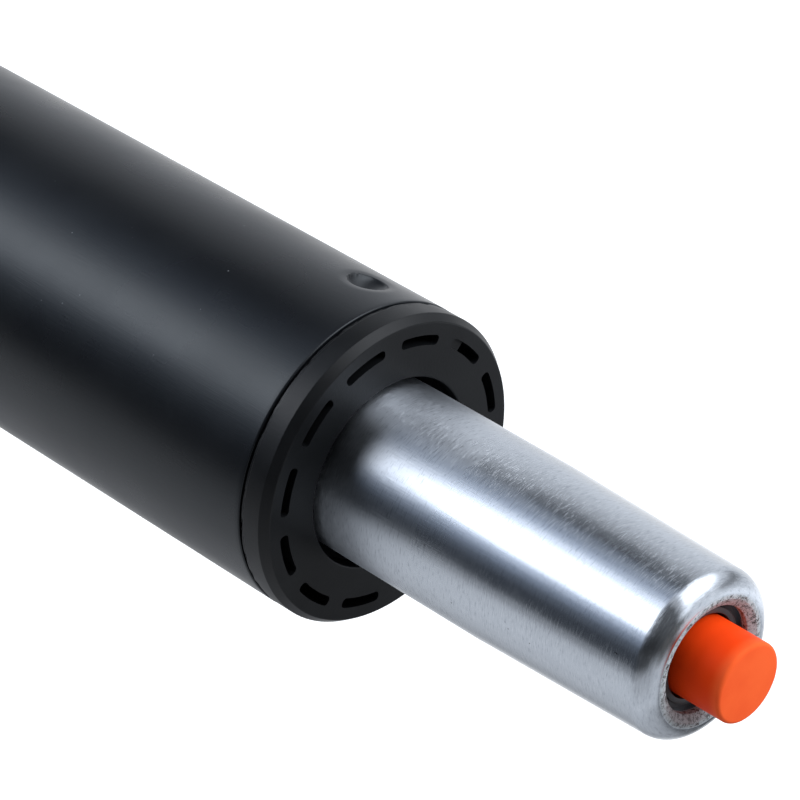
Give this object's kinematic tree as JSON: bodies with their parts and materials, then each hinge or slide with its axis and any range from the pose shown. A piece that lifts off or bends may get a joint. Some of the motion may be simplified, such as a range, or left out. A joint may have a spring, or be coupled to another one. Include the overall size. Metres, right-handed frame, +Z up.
{
  "type": "chair gas lift cylinder",
  "caption": "Gas spring height column for a swivel chair: black tapered column, bright sliding pressure tube with a tapered tip, orange release button on its end.",
  "frame": {"origin": "centre of the column's bottom rim", "axes": "+Z up the column's axis, from the chair base towards the seat; +X from the axis through the middle of one of the bush's moulding slots"},
  "size_m": [0.05, 0.05, 0.3009],
  "materials": {
    "black_paint": "satin black paint with a faint blue cast",
    "black_plastic": "moulded black nylon, fine satin grain",
    "plated_steel": "satin zinc plating with fine brush marks round the tube",
    "orange_plastic": "moulded orange plastic, satin",
    "dark_plastic": "moulded dark grey plastic",
    "bare_steel": "turned or pressed bare steel, lightly oiled",
    "bright_steel": "ground and hard chromed steel",
    "spring_steel": "dark phosphated spring steel",
    "light_alloy": "turned aluminium",
    "natural_plastic": "natural cream-white acetal",
    "black_rubber": "black nitrile rubber"
  },
  "bodies": {
    "column": {"outer_tube": "black_paint", "base_plate": "bare_steel", "guide_bush": "black_plastic", "lower_race": "bare_steel"},
    "rod": {"piston_rod": "bright_steel", "piston_washer": "bare_steel", "piston": "light_alloy", "piston_seal": "black_rubber", "piston_nut": "bare_steel", "upper_race": "bare_steel", "bumper_washer": "bare_steel", "bumper": "black_rubber", "clip_washer": "bare_steel", "retaining_clip": "spring_steel"},
    "ball_cage": {"ball_cage": "natural_plastic", "bearing_balls": "bright_steel"},
    "gas_cylinder": {"pressure_tube": "plated_steel", "inner_tube": "bare_steel", "seal_washer": "bare_steel", "rod_seal": "black_rubber", "rod_guide": "natural_plastic", "centring_ring": "natural_plastic", "valve_body": "light_alloy", "valve_outer_seal": "black_rubber", "valve_inner_seal": "black_rubber", "pin_seals": "black_rubber", "top_bush": "dark_plastic"},
    "button": {"release_button": "orange_plastic", "valve_pin": "bright_steel"}
  },
  "joints": [
    {"name": "swivel", "type": "hinge", "parent": "column", "child": "rod", "pos_m": [0, 0, 0.0164], "axis": [0, 0, 1], "continuous": true},
    {"name": "cage_roll", "type": "hinge", "parent": "column", "child": "ball_cage", "pos_m": [0, 0, 0.0164], "axis": [0, 0, 1], "continuous": true},
    {"name": "lift", "type": "slide", "parent": "rod", "child": "gas_cylinder", "axis": [0, 0, 1], "range_m": [0, 0.12]},
    {"name": "button_press", "type": "slide", "parent": "gas_cylinder", "child": "button", "axis": [0, 0, 1], "range_m": [-0.005, 0], "stiffness_N_per_m": 3000, "springref_m": 0.01}
  ],
  "couplings": [
    {"joint": "cage_roll", "follows": "swivel", "ratio": 0.5}
  ]
}
